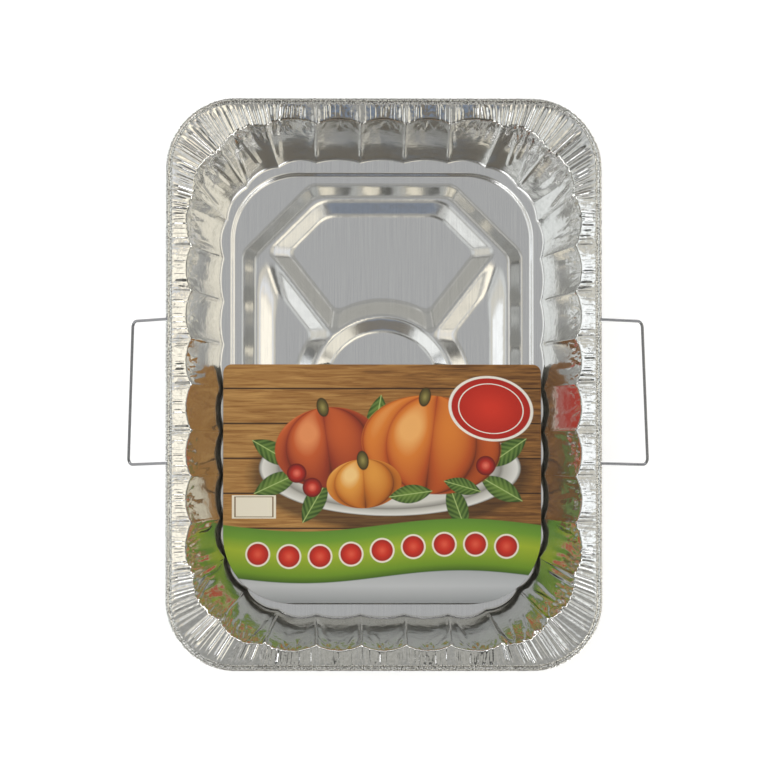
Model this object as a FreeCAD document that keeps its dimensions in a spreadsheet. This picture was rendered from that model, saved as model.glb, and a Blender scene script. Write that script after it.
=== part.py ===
"""Foil roasting pan with two swinging wire handles and the printed card that lies in it.

The pan stands on its underside at Z = 0. X runs across the pan, Y along it, and the
origin is the middle of the underside. Lengths are in millimetres, angles in degrees.
"""
import FreeCAD, Part
import Sketcher
import math
import os

V = FreeCAD.Vector

# Points nearer than this are one point.
JOIN = 1e-5

# Every size that can be set by itself: its name, its value and what it is.
SIZES = [
    ("pan_length", 438.0, "over the rim, long way"),
    ("pan_width", 333.4, "over the rim, short way"),
    ("pan_height", 72.2, "underside to the top of the rim"),
    ("foil", 0.2, "thickness of the foil"),
    ("rim_corner", 54.0, "plan radius of the rim's corners"),
    ("bead_radius", 1.65, "outer radius of the curled edge"),
    ("bead_lip_angle", -140.0, "where the curl ends underneath"),
    ("bead_top_angle", 130.0, "where the curl turns into the valley"),
    ("valley_radius", 0.4, "inside radius of the groove behind the curl"),
    ("ridge_start_angle", 50.0, "where the groove turns into the ridge"),
    ("ridge_radius", 1.2, "outer radius of the ridge behind the groove"),
    ("ridge_end_angle", 115.0, "where the ridge runs into the flange"),
    ("flange_inset", 19.8, "rim's edge to the wall top, at the flutes' cusps"),
    ("wall_top_height", 67.0, "underside to the wall top"),
    ("wall_top_corner", 70.0, "plan radius of the wall top's corners"),
    ("foot_inset", 43.5, "rim's edge to the wall's foot, at the cusps"),
    ("foot_corner", 65.0, "plan radius of the foot's corners"),
    ("side_flutes", 6, "flutes on each long side"),
    ("end_flutes", 3, "flutes on each short side"),
    ("corner_flutes", 4, "flutes round each corner"),
    ("side_run_top", 212.0, "length of the long side's flutes at the top"),
    ("side_run_foot", 201.0, "length of the long side's flutes at the foot"),
    ("end_run_top", 102.6, "length of the short side's flutes at the top"),
    ("end_run_foot", 101.6, "length of the short side's flutes at the foot"),
    ("flute_depth_top", 4.0, "how far a flute bulges at the wall top"),
    ("flute_depth_foot", 2.2, "how far a flute bulges at the foot"),
    ("pleats_per_flute", 4, "creases of the flange for each flute"),
    ("pleat_depth", 1.3, "height of a crease from groove to ridge"),
    ("ledge_height", 2.5, "height of the ledge at the wall's foot"),
    ("side_ledge", 6.4, "width of the ledge along the long sides"),
    ("end_ledge", 8.9, "width of the ledge along the short sides"),
    ("ledge_corner", 52.0, "plan radius of the ledge's inner corners"),
    ("step_width", 2.3, "plan width of the step down to the floor"),
    ("rib_height", 5.0, "height of the raised ribs of the floor"),
    ("frame_margin", 7.0, "step's foot to the ribs' outer foot"),
    ("frame_cut", 51.8, "how much the eight-sided rib frame loses at a corner"),
    ("frame_slope", 9.5, "plan width of the ribs' outer slope"),
    ("frame_crest", 2.4, "flat top of the rib frame"),
    ("corner_crest", 4.0, "flat top of the frame across its corners"),
    ("corner_wedge", 8.5, "frame's corner to the end of a diagonal rib"),
    ("side_panel_cut", 4.5, "how much further the side panels are cut back"),
    ("panel_slope", 12.0, "plan width of the slopes into the panels"),
    ("side_corner_slope", 25.0, "plan width of the slopes in the side panels' corners"),
    ("arm_crest", 1.2, "flat top of a diagonal rib"),
    ("arm_ring_angle", 47.0, "where a diagonal rib meets the ring"),
    ("ring_crest", 1.3, "flat top of the round rib"),
    ("ring_gap", 39.6, "ring's crest to the frame's crest, at the pan's sides"),
    ("disc_slope", 10.8, "plan width of the slope into the disc"),
    ("wire", 2.3, "diameter of the handles' steel wire"),
    ("handle_shift", -5.4, "middle of the handles, along the pan"),
    ("leg_pitch", 110.0, "distance between a handle's legs"),
    ("near_reach", 43.0, "hinge line to the grip at the shorter leg"),
    ("far_reach", 48.0, "hinge line to the grip at the longer leg"),
    ("grip_bend", 5.0, "bend radius between leg and grip"),
    ("hinge_foot", 15.0, "how far a foot of the handle runs inside the curl"),
    ("foot_bend", 2.0, "bend radius between foot and leg"),
    ("slot_play", 0.6, "room beside a leg in its slot"),
    ("slot_room", 0.35, "room above and behind a leg in its slot"),
    ("left_droop", 51.0, "left handle's angle below level"),
    ("right_droop", 38.0, "right handle's angle below level"),
    ("card", 0.35, "thickness of the printed card"),
    ("card_length", 184.4, "card, along the pan"),
    ("card_side_gap", 0.45, "card's side to the wall's foot"),
    ("card_end_gap", 9.2, "card's end to the wall's foot"),
    ("card_corner_ease", 13.0, "how much smaller than the foot's its near corners are"),
    ("card_far_corner", 6.5, "radius of the card's corners in mid-pan"),
]

doc = FreeCAD.newDocument("foil_roasting_pan")
sheet = doc.addObject("Spreadsheet::Sheet", "sizes")
for row, (name, value, note) in enumerate(SIZES, start=1):
    sheet.set(f"A{row}", note)
    sheet.set(f"B{row}", str(value))
    sheet.setAlias(f"B{row}", name)
doc.recompute()


def size(name):
    """Value of one cell."""
    return float(sheet.get(name))


def count(name):
    """Value of one cell that counts things."""
    return int(round(size(name)))


def turn(angle):
    """Unit direction of an angle in the plane of a profile or a plan."""
    return V(math.cos(math.radians(angle)), math.sin(math.radians(angle)), 0)


# Plan outlines. A rounded rectangle is followed by its length from the middle of the
# right-hand side, and moved inwards by taking each point back along its normal.

class RoundedPath:
    """A rounded rectangle in plan, with the lengths along it."""

    def __init__(self, half_x, half_y, radius):
        self.half_x = half_x
        self.half_y = half_y
        self.radius = radius
        self.flat_x = half_x - radius
        self.flat_y = half_y - radius
        self.quarter = self.flat_y + self.flat_x + radius * math.pi / 2

    def inset(self, distance):
        """The same outline, moved inwards."""
        return RoundedPath(self.half_x - distance, self.half_y - distance, self.radius - distance)

    def at(self, station):
        """Point and outward normal at a length from the middle of the right side."""
        side = math.floor(station / (2 * self.quarter) + 0.5)
        along = station - side * 2 * self.quarter
        sign = 1 if along >= 0 else -1
        along = abs(along)
        bend = self.radius * math.pi / 2
        if along <= self.flat_y:
            point = V(self.half_x, along, 0)
            normal = V(1, 0, 0)
        elif along <= self.flat_y + bend:
            normal = turn(math.degrees((along - self.flat_y) / self.radius))
            point = V(self.flat_x, self.flat_y, 0) + normal * self.radius
        else:
            point = V(self.quarter - along, self.half_y, 0)
            normal = V(0, 1, 0)
        point.y *= sign
        normal.y *= sign
        if side % 2:
            point = V(-point.x, -point.y, 0)
            normal = V(-normal.x, -normal.y, 0)
        return point, normal

    def meet(self, start, heading):
        """Where a ray from inside the outline crosses it."""
        mirror = V(1 if start.x >= 0 else -1, 1 if start.y >= 0 else -1, 1)
        spot = V(start.x * mirror.x, start.y * mirror.y, 0)
        ray = V(heading.x * mirror.x, heading.y * mirror.y, 0)
        hit = None
        if ray.x > JOIN:
            hit = spot + ray * ((self.half_x - spot.x) / ray.x)
        if hit is None or hit.y > self.flat_y:
            top = spot + ray * ((self.half_y - spot.y) / ray.y) if ray.y > JOIN else None
            if top is not None and top.x <= self.flat_x:
                hit = top
            else:
                away = spot - V(self.flat_x, self.flat_y, 0)
                lean = away.dot(ray)
                reach = -lean + math.sqrt(lean * lean - away.dot(away) + self.radius ** 2)
                hit = spot + ray * reach
        return V(hit.x * mirror.x, hit.y * mirror.y, 0)

    def corner_of(self, point):
        """Centre of the round corner that a point lies on, its ends included, or none."""
        if abs(point.x) < self.flat_x - JOIN or abs(point.y) < self.flat_y - JOIN:
            return None
        return V(math.copysign(self.flat_x, point.x), math.copysign(self.flat_y, point.y), 0)

    def corner_ends(self):
        """The eight points where straight sides and corners meet."""
        ends = []
        for sign_x in (1, -1):
            for sign_y in (1, -1):
                ends.append(V(sign_x * self.half_x, sign_y * self.flat_y, 0))
                ends.append(V(sign_x * self.flat_x, sign_y * self.half_y, 0))
        return ends

    def edge(self, start, end, height):
        """The stretch of the outline between two neighbouring points on it."""
        lift = V(0, 0, height)
        centre = self.corner_of(start)
        if centre is not None and centre == self.corner_of(end):
            middle = ((start - centre) + (end - centre)).normalize() * self.radius + centre
            return Part.Arc(start + lift, middle + lift, end + lift).toShape()
        return Part.LineSegment(start + lift, end + lift).toShape()

    def wire(self, height):
        """The whole outline as eight edges."""
        ends = sorted(self.corner_ends(), key=lambda spot: math.atan2(spot.y, spot.x))
        return Part.Wire([self.edge(ends[i - 1], ends[i], height) for i in range(len(ends))])


half_width = size("pan_width") / 2
half_length = size("pan_length") / 2
foil = size("foil")
rim_path = RoundedPath(half_width, half_length, size("rim_corner"))
top_path = RoundedPath(half_width - size("flange_inset"), half_length - size("flange_inset"),
                       size("wall_top_corner"))
foot_path = RoundedPath(half_width - size("foot_inset"), half_length - size("foot_inset"),
                        size("foot_corner"))
ledge_path = RoundedPath(foot_path.half_x - size("side_ledge"),
                         foot_path.half_y - size("end_ledge"), size("ledge_corner"))
floor_path = ledge_path.inset(size("step_width"))

# The rim in section: distances from the rim's edge, negative inwards, and heights.
bead_centre = V(-size("bead_radius"), size("pan_height") - size("bead_radius"), 0)
bead_to_valley = size("bead_radius") + size("valley_radius")
valley_to_ridge = size("valley_radius") + size("ridge_radius")
valley_centre = bead_centre + turn(size("bead_top_angle")) * bead_to_valley
ridge_centre = valley_centre - turn(size("ridge_start_angle")) * valley_to_ridge
flange_top = ridge_centre + turn(size("ridge_end_angle")) * size("ridge_radius")
ridge_under = size("ridge_radius") - foil
under_angle = math.degrees(math.acos((flange_top.x - ridge_centre.x) / ridge_under))
flange_under = ridge_centre + turn(under_angle) * ridge_under
flange_path = rim_path.inset(-flange_top.x)


def closed_solid(faces):
    """Solid inside faces that meet edge to edge."""
    shell = Part.makeCompound(faces)
    shell.sewShape(JOIN)
    solid = Part.makeSolid(shell.Shells[0])
    if solid.Volume < 0:
        solid.reverse()
    return solid


def profile_arc(centre, radius, first, last):
    """An arc of the rim's section, from one angle to another, as an edge at Y = 0."""
    spots = [centre + turn(angle) * radius for angle in (first, (first + last) / 2, last)]
    return Part.Arc(*[V(half_width + spot.x, 0, spot.y) for spot in spots]).toShape()


def rim_section():
    """Section of the rolled rim, both faces: ridge, groove, curl and back."""
    lip = size("bead_lip_angle")
    crown = size("bead_top_angle")
    start = size("ridge_start_angle")
    upper = [profile_arc(bead_centre, size("bead_radius"), lip, crown),
             profile_arc(valley_centre, size("valley_radius"), crown + 180, start + 180),
             profile_arc(ridge_centre, size("ridge_radius"), start, size("ridge_end_angle"))]
    under = [profile_arc(ridge_centre, ridge_under, under_angle, start),
             profile_arc(valley_centre, size("valley_radius") + foil, start + 180, crown + 180),
             profile_arc(bead_centre, size("bead_radius") - foil, crown, lip)]
    lip_end = Part.LineSegment(under[-1].lastVertex(True).Point, upper[0].firstVertex(True).Point)
    return Part.Wire(under + [lip_end.toShape()] + upper)


def rolled_rim():
    """Faces of the rim: its section carried along the sides and round the corners."""
    section = rim_section()
    section.translate(V(0, -rim_path.flat_y, 0))
    upright = V(0, 0, 1)
    heading = V(0, 1, 0)
    centre = V(rim_path.flat_x, rim_path.flat_y, 0)
    faces = []
    for straight in (rim_path.flat_y, rim_path.flat_x) * 2:
        faces += section.extrude(heading * 2 * straight).Faces
        section.translate(heading * 2 * straight)
        faces += section.revolve(centre, upright, 90).Faces
        section.rotate(centre, upright, 90)
        heading = V(-heading.y, heading.x, 0)
        centre = V(-centre.x, centre.y, 0) if heading.x else V(centre.x, -centre.y, 0)
    return faces


# The pressed foil. Each ring below is a closed line of points round the pan: the flutes'
# foot, their top, the middle of the pleated flange and the flange's outer edge.

def flute_stations(path, side_run, end_run):
    """Lengths along an outline at which the flutes' cusps stand, once round."""
    side = count("side_flutes")
    end = count("end_flutes")
    corner = count("corner_flutes")
    corner_run = path.quarter - side_run / 2 - end_run / 2
    steps = []
    for _ in range(2):
        steps += [side_run / side] * side + [corner_run / corner] * corner
        steps += [end_run / end] * end + [corner_run / corner] * corner
    stations = [-side_run / 2]
    for step in steps:
        stations.append(stations[-1] + step)
    return stations


def fluted_ring(path, side_run, end_run, depth, inset, height):
    """Edges of a fluted outline: each flute is an arc, cut where the pleats meet it."""
    stations = flute_stations(path, side_run, end_run)
    cuts = 2 * count("pleats_per_flute")
    lift = V(0, 0, height)
    edges = []
    for here, there in zip(stations, stations[1:]):
        start, start_normal = path.at(here)
        end, end_normal = path.at(there)
        crown, crown_normal = path.at((here + there) / 2)
        arc = Part.Arc(start - start_normal * inset + lift,
                       crown + crown_normal * (depth - inset) + lift,
                       end - end_normal * inset + lift)
        span = (arc.LastParameter - arc.FirstParameter) / cuts
        for k in range(cuts):
            edges.append(arc.toShape(arc.FirstParameter + k * span, arc.FirstParameter + (k + 1) * span))
    return edges


def fold_shift(slope_before, slope_after):
    """How far the upper face's fold lies from the lower face's: inwards and up."""
    middle = (slope_before + slope_after) / 2
    reach = foil / math.cos(math.radians(slope_after - slope_before) / 2)
    return reach * math.sin(math.radians(middle)), reach * math.cos(math.radians(middle))


def slope(rise, run):
    """Angle of a stretch of the section above level."""
    return math.degrees(math.atan2(rise, run))


def first_points(edges):
    """Start of each edge, in its own direction."""
    return [edge.firstVertex(True).Point for edge in edges]


def closed_chain(points):
    """Straight edges through the points, back to the first."""
    return [Part.LineSegment(points[i], points[(i + 1) % len(points)]).toShape()
            for i in range(len(points))]


def ruled(lower, upper):
    """One ruled face for each pair of matching edges."""
    return [Part.makeRuledSurface(low, high) for low, high in zip(lower, upper)]


step_slope = slope(size("ledge_height"), size("step_width"))
wall_slope = slope(size("wall_top_height") - size("ledge_height"),
                   size("foot_inset") - size("flange_inset"))
flange_slope = slope(flange_under.y - size("wall_top_height"), size("flange_inset") + flange_top.x)


def rim_points():
    """Ends of the pleats at the flange's outer edge, square to the wall top."""
    stations = flute_stations(top_path, size("side_run_top"), size("end_run_top"))
    cuts = 2 * count("pleats_per_flute")
    points = []
    for here, there in zip(stations, stations[1:]):
        for k in range(cuts):
            start, normal = top_path.at(here + (there - here) * k / cuts)
            points.append(flange_path.meet(start, normal))
    for end in flange_path.corner_ends():
        nearest = min(range(len(points)), key=lambda i: points[i].distanceToPoint(end))
        points[nearest] = end
    return points


def skin(upper_face):
    """Faces of one side of the foil, from the floor's edge to the rim."""
    step_in, step_up = fold_shift(0, step_slope) if upper_face else (0, 0)
    foot_in, foot_up = fold_shift(0, wall_slope) if upper_face else (0, 0)
    top_in, top_up = fold_shift(wall_slope, flange_slope) if upper_face else (0, 0)
    flange_up = foil / math.cos(math.radians(flange_slope)) if upper_face else 0
    edge_height = flange_top.y if upper_face else flange_under.y

    floor_wire = floor_path.inset(step_in).wire(step_up)
    ledge_wire = ledge_path.inset(step_in).wire(size("ledge_height") + step_up)
    foot = fluted_ring(foot_path, size("side_run_foot"), size("end_run_foot"),
                       size("flute_depth_foot"), foot_in, size("ledge_height") + foot_up)
    top = fluted_ring(top_path, size("side_run_top"), size("end_run_top"),
                      size("flute_depth_top"), top_in, size("wall_top_height") + top_up)
    plain_top = fluted_ring(top_path, size("side_run_top"), size("end_run_top"),
                            size("flute_depth_top"), 0, size("wall_top_height"))
    rim = rim_points()
    pleats = []
    for k, (low, high) in enumerate(zip(first_points(plain_top), rim)):
        crease = size("pleat_depth") / 2 * (1 if k % 2 else -1)
        middle = (low + high + V(0, 0, flange_under.y)) * 0.5
        pleats.append(middle + V(0, 0, crease + flange_up))
    pleats = closed_chain(pleats)
    edge = [flange_path.edge(rim[i], rim[(i + 1) % len(rim)], edge_height) for i in range(len(rim))]

    faces = ruled(floor_wire.Edges, ledge_wire.Edges)
    faces.append(Part.makeFace([Part.Wire(foot), ledge_wire], "Part::FaceMakerBullseye"))
    return faces + ruled(foot, top) + ruled(top, pleats) + ruled(pleats, edge)


# The ribs pressed into the floor: an eight-sided frame round four panels and a disc.
# A line is a point and a direction, with the panel on its left.

def line(start, end):
    """Line through two points."""
    return start, (end - start).normalize()


def moved_in(path_line, distance):
    """The line moved to its left."""
    point, heading = path_line
    return point + V(-heading.y, heading.x, 0) * distance, heading


def crossing(one, other):
    """Where two lines cross."""
    gap = other[0] - one[0]
    spread = one[1].x * other[1].y - one[1].y * other[1].x
    return one[0] + one[1] * ((gap.x * other[1].y - gap.y * other[1].x) / spread)


def ring_crossing(path_line, radius, outwards):
    """Where a line crosses a circle about the origin, on its far or its near side."""
    point, heading = path_line
    nearest = point - heading * point.dot(heading)
    reach = math.sqrt(radius ** 2 - nearest.dot(nearest))
    return nearest + heading * (reach if outwards else -reach)


def frame_corners(inset):
    """Corners of the eight-sided frame, moved in from its outer foot."""
    half_x = floor_path.half_x - size("frame_margin")
    half_y = floor_path.half_y - size("frame_margin")
    cut = size("frame_cut")
    corners = [V(half_x, cut - half_y, 0), V(half_x, half_y - cut, 0),
               V(half_x - cut, half_y, 0), V(cut - half_x, half_y, 0),
               V(-half_x, half_y - cut, 0), V(-half_x, cut - half_y, 0),
               V(cut - half_x, -half_y, 0), V(half_x - cut, -half_y, 0)]
    sides = [moved_in(line(corners[i - 1], corners[i]), inset) for i in range(8)]
    return [crossing(sides[i], sides[(i + 1) % 8]) for i in range(8)]


def mirrored_x(spot):
    return V(-spot.x, spot.y, 0)


def mirrored_y(spot):
    return V(spot.x, -spot.y, 0)


crest_corners = frame_corners(size("frame_slope") + size("frame_crest"))
side_corner = crest_corners[1]
end_corner = crest_corners[2]
corner_line = moved_in(line(side_corner, end_corner), size("corner_crest") - size("frame_crest"))
ring_radius = side_corner.x - size("ring_gap")
disc_radius = ring_radius - size("ring_crest")
arm_end = corner_line[0] + corner_line[1] * size("corner_wedge")
arm_start = turn(size("arm_ring_angle")) * ring_radius
arm_half = size("arm_crest") / 2


def end_panel():
    """Lines round the panel at the far end of the floor, each with its slope's width."""
    arm_out = moved_in(line(arm_start, arm_end), arm_half)
    top = line(end_corner, mirrored_x(end_corner))
    other_corner = line(mirrored_x(corner_line[0] + corner_line[1]), mirrored_x(corner_line[0]))
    arm_in = moved_in(line(mirrored_x(arm_end), mirrored_x(arm_start)), arm_half)
    return [(each, size("panel_slope")) for each in (arm_out, corner_line, top, other_corner, arm_in)]


def side_panel():
    """Lines round the panel on the right of the floor, each with its slope's width."""
    cut_line = moved_in(corner_line, size("side_panel_cut"))
    lower_cut = line(mirrored_y(cut_line[0] + cut_line[1]), mirrored_y(cut_line[0]))
    arm_out = moved_in(line(mirrored_y(arm_start), mirrored_y(arm_end)), arm_half)
    side = line(mirrored_y(side_corner), side_corner)
    arm_in = moved_in(line(arm_end, arm_start), arm_half)
    plain = size("panel_slope")
    shallow = size("side_corner_slope")
    return [(arm_out, plain), (lower_cut, shallow), (side, plain), (cut_line, shallow), (arm_in, plain)]


def panel_wire(lines, share, height):
    """Outline of a panel at a share of the way down its slopes; it backs on to the ring."""
    radius = ring_radius + share * size("panel_slope")
    sides = [moved_in(each, share * width) for each, width in lines]
    corners = [ring_crossing(sides[0], radius, True)]
    corners += [crossing(one, other) for one, other in zip(sides, sides[1:])]
    corners.append(ring_crossing(sides[-1], radius, False))
    lift = V(0, 0, height)
    middle = (corners[0] + corners[-1]).normalize() * radius + lift
    corners = [corner + lift for corner in corners]
    edges = [Part.LineSegment(one, other).toShape() for one, other in zip(corners, corners[1:])]
    return Part.Wire(edges + [Part.Arc(corners[-1], middle, corners[0]).toShape()])


def rib_block(rise, bottom):
    """The ribs as a block, lifted by rise and cut off level at the bottom height."""
    height = size("rib_height")
    over = 1.0

    def frame_wire(level):
        corners = [spot + V(0, 0, level) for spot in
                   frame_corners((level - rise) / height * size("frame_slope"))]
        return Part.makePolygon(corners + corners[:1])

    def pocket(lines, turned):
        wires = [panel_wire(lines, (height - level + rise) / height, level)
                 for level in (bottom - over, height + rise + over)]
        block = Part.makeLoft(wires, True, True)
        block.rotate(V(0, 0, 0), V(0, 0, 1), turned)
        return block

    block = Part.makeLoft([frame_wire(bottom), frame_wire(height + rise)], True, True)
    disc_low = disc_radius - (height - bottom + over + rise) / height * size("disc_slope")
    disc_high = disc_radius + over / height * size("disc_slope")
    disc_height = height + rise + 2 * over - bottom
    disc = Part.makeCone(disc_low, disc_high, disc_height, V(0, 0, bottom - over))
    pockets = [pocket(lines, turned) for lines in (end_panel(), side_panel()) for turned in (0, 180)]
    return block.cut(pockets + [disc])


def slot_block(side, leg):
    """Space that one handle leg sweeps through the curl."""
    room = size("wire") / 2 + size("slot_room")
    reach = 3 * size("bead_radius")
    half = size("wire") / 2 + size("slot_play")
    outline = [(-room, -reach), (reach, -reach), (reach, room), (0, room), (0, 0), (-room, 0)]
    centre_x = half_width - size("bead_radius")
    spots = [V(side * (centre_x + x), size("handle_shift") + leg * size("leg_pitch") / 2 - half,
               bead_centre.y + z) for x, z in outline]
    return Part.Face(Part.makePolygon(spots + spots[:1])).extrude(V(0, 2 * half, 0))


def pressed_floor():
    """Faces of the floor with its ribs, up to the foot of the step."""
    inset, rise = fold_shift(0, step_slope)
    low = floor_path.wire(0)
    high = floor_path.inset(inset).wire(rise)
    plate = closed_solid([Part.Face(low), Part.Face(high)] + ruled(low.Edges, high.Edges))
    ribbed = plate.fuse(rib_block(foil, foil / 2)).cut(rib_block(0, -1.0))
    limit_x = floor_path.half_x - size("frame_margin") / 2
    limit_y = floor_path.half_y - size("frame_margin") / 2
    return [face for face in ribbed.Faces
            if any(abs(spot.X) < limit_x and abs(spot.Y) < limit_y for spot in face.Vertexes)]


def foil_pan():
    """The whole pan, one sheet of foil with its edge rolled over."""
    whole = closed_solid(pressed_floor() + skin(False) + skin(True) + rolled_rim())
    return whole.cut([slot_block(side, leg) for side in (1, -1) for leg in (1, -1)])


pan = doc.addObject("Part::Feature", "foil_pan")
pan.Label = "foil_pan"
pan.Shape = foil_pan()


# Sketched pieces: the bent wire handles and the card.

def origin_plane(body, role):
    """One of a body's own base planes."""
    return next(item for item in body.Origin.OriginFeatures if item.Role == role)


def new_sketch(body, name, role):
    """Sketch on one of the body's base planes."""
    sketch = body.newObject("Sketcher::SketchObject", name)
    sketch.AttachmentSupport = (origin_plane(body, role), [""])
    sketch.MapMode = "FlatFace"
    return sketch


def bound(sketch, kind, places, value, name, formula):
    """Adds a named dimension whose value is a formula over the sizes."""
    sketch.addConstraint(Sketcher.Constraint(kind, *places, value))
    index = len(sketch.Constraints) - 1
    sketch.renameConstraint(index, name)
    sketch.setExpression(f"Constraints.{name}", formula)


def rounded_chain(sketch, corners, bends, closed):
    """Lines through the corners with tangent arcs in the bends: line and arc numbers."""
    total = len(corners)
    arcs = {}
    for i, (name, radius) in bends.items():
        before = (corners[i] - corners[i - 1]).normalize()
        after = (corners[(i + 1) % total] - corners[i]).normalize()
        bend = before.getAngle(after)
        trim = radius * math.tan(bend / 2)
        left = before.x * after.y - before.y * after.x > 0
        side = 1 if left else -1
        centre = corners[i] - before * trim + V(-before.y, before.x, 0) * radius * side
        start, end = corners[i] - before * trim, corners[i] + after * trim
        first, last = (start, end) if left else (end, start)
        angles = [math.atan2(spot.y - centre.y, spot.x - centre.x) for spot in (first, last)]
        if angles[1] < angles[0]:
            angles[1] += 2 * math.pi
        circle = Part.Circle(centre, V(0, 0, 1), radius)
        arcs[i] = (sketch.addGeometry(Part.ArcOfCircle(circle, *angles)), left, start, end)
    lines = []
    for i in range(total if closed else total - 1):
        j = (i + 1) % total
        start = arcs[i][3] if i in arcs else corners[i]
        end = arcs[j][2] if j in arcs else corners[j]
        lines.append(sketch.addGeometry(Part.LineSegment(start, end)))
    for i, (arc, left, start, end) in arcs.items():
        enter, leave = (1, 2) if left else (2, 1)
        sketch.addConstraint(Sketcher.Constraint("Tangent", lines[i - 1], 2, arc, enter))
        sketch.addConstraint(Sketcher.Constraint("Tangent", arc, leave, lines[i], 1))
        name, radius = bends[i]
        bound(sketch, "Radius", (arc,), radius, f"bend_{i}", name)
    return lines


# A sketch's own origin, as element and point of a constraint.
ORIGIN = (-1, 1)


def put_on_y_axis(sketch, element, end):
    """Holds one end of a line on the sketch's Y axis, which is its element -2."""
    sketch.addConstraint(Sketcher.Constraint("PointOnObject", element, end, -2))


def wire_handle(name, side):
    """Bent wire loop: a foot inside the curl, a leg, the grip, a leg and a foot."""
    body = doc.addObject("PartDesign::Body", name)
    body.Label = name
    half = size("leg_pitch") / 2
    foot_end = half + size("hinge_foot")
    near = side * size("near_reach")
    far = side * size("far_reach")
    corners = [V(0, foot_end, 0), V(0, half, 0), V(near, half, 0),
               V(far, -half, 0), V(0, -half, 0), V(0, -foot_end, 0)]
    small = ("sizes.foot_bend", size("foot_bend"))
    large = ("sizes.grip_bend", size("grip_bend"))
    path = new_sketch(body, name + "_path", "XY_Plane")
    lines = rounded_chain(path, corners, {1: small, 2: large, 3: large, 4: small}, False)
    upper_foot, upper_leg, grip, lower_leg, lower_foot = lines
    for foot, outer_end in ((upper_foot, 1), (lower_foot, 2)):
        path.addConstraint(Sketcher.Constraint("Vertical", foot))
        put_on_y_axis(path, foot, outer_end)
    path.addConstraint(Sketcher.Constraint("Horizontal", upper_leg))
    path.addConstraint(Sketcher.Constraint("Horizontal", lower_leg))
    bound(path, "DistanceY", (*ORIGIN, upper_leg, 1), half, "upper_leg", "sizes.leg_pitch / 2")
    bound(path, "DistanceY", (*ORIGIN, lower_leg, 1), -half, "lower_leg", "-sizes.leg_pitch / 2")
    foot_formula = "sizes.leg_pitch / 2 + sizes.hinge_foot"
    bound(path, "DistanceY", (*ORIGIN, upper_foot, 1), foot_end, "upper_end", foot_formula)
    bound(path, "DistanceY", (*ORIGIN, lower_foot, 2), -foot_end, "lower_end", f"-({foot_formula})")
    bound(path, "DistanceX", (*ORIGIN, grip, 1), near, "near", f"{side} * sizes.near_reach")
    bound(path, "DistanceX", (*ORIGIN, grip, 2), far, "far", f"{side} * sizes.far_reach")

    section = new_sketch(body, name + "_section", "XZ_Plane")
    section.AttachmentOffset = FreeCAD.Placement(V(0, 0, -foot_end), FreeCAD.Rotation())
    section.setExpression("AttachmentOffset.Base.z", f"-({foot_formula})")
    circle = section.addGeometry(Part.Circle(V(0, 0, 0), V(0, 0, 1), size("wire") / 2))
    section.addConstraint(Sketcher.Constraint("Coincident", circle, 3, *ORIGIN))
    bound(section, "Radius", (circle,), size("wire") / 2, "wire_radius", "sizes.wire / 2")
    doc.recompute()

    bent_wire = body.newObject("PartDesign::AdditivePipe", name + "_wire")
    bent_wire.Profile = section
    bent_wire.Spine = (path, [f"Edge{i + 1}" for i in range(len(path.Shape.Edges))])
    droop = "right_droop" if side > 0 else "left_droop"
    hinge = V(side * (half_width - size("bead_radius")), size("handle_shift"), bead_centre.y)
    body.Placement = FreeCAD.Placement(hinge, FreeCAD.Rotation(V(0, side, 0), size(droop)))
    body.setExpression("Placement.Base.x", f"{side} * (sizes.pan_width / 2 - sizes.bead_radius)")
    body.setExpression("Placement.Base.y", "sizes.handle_shift")
    body.setExpression("Placement.Base.z", "sizes.pan_height - sizes.bead_radius")
    body.setExpression("Placement.Rotation.Angle", f"sizes.{droop}")
    return body


def label_card():
    """Flat printed card that lies on the ribs, in the near half of the pan."""
    body = doc.addObject("PartDesign::Body", "label_card")
    body.Label = "label_card"
    half_x = foot_path.half_x - size("card_side_gap")
    low = -(foot_path.half_y - size("card_end_gap"))
    high = low + size("card_length")
    corners = [V(-half_x, low, 0), V(half_x, low, 0), V(half_x, high, 0), V(-half_x, high, 0)]
    near_radius = size("foot_corner") - size("card_corner_ease")
    near = ("sizes.foot_corner - sizes.card_corner_ease", near_radius)
    far = ("sizes.card_far_corner", size("card_far_corner"))
    outline = new_sketch(body, "card_outline", "XY_Plane")
    bends = {0: near, 1: near, 2: far, 3: far}
    low_side, right, high_side, left = rounded_chain(outline, corners, bends, True)
    for edge in (low_side, high_side):
        outline.addConstraint(Sketcher.Constraint("Horizontal", edge))
    for edge in (right, left):
        outline.addConstraint(Sketcher.Constraint("Vertical", edge))
    half_formula = "sizes.pan_width / 2 - sizes.foot_inset - sizes.card_side_gap"
    low_formula = "sizes.foot_inset + sizes.card_end_gap - sizes.pan_length / 2"
    bound(outline, "DistanceX", (*ORIGIN, right, 1), half_x, "right", half_formula)
    bound(outline, "DistanceX", (*ORIGIN, left, 1), -half_x, "left", f"-({half_formula})")
    bound(outline, "DistanceY", (*ORIGIN, low_side, 1), low, "low", low_formula)
    bound(outline, "DistanceY", (*ORIGIN, high_side, 1), high, "high", f"{low_formula} + sizes.card_length")
    blank = body.newObject("PartDesign::Pad", "card_blank")
    blank.Profile = outline
    blank.setExpression("Length", "sizes.card")
    body.setExpression("Placement.Base.z", "sizes.rib_height + sizes.foil")
    return body


pieces = [pan, wire_handle("wire_handle_left", -1), wire_handle("wire_handle_right", 1), label_card()]
doc.recompute()

for item in doc.Objects:
    if "Invalid" in item.State or "Error" in item.State:
        raise RuntimeError(f"{item.Label} did not build: {item.State}")
for piece in pieces:
    if piece.Shape.isNull() or not piece.Shape.isValid() or len(piece.Shape.Solids) != 1:
        raise RuntimeError(f"{piece.Label} is not one valid solid")

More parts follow.
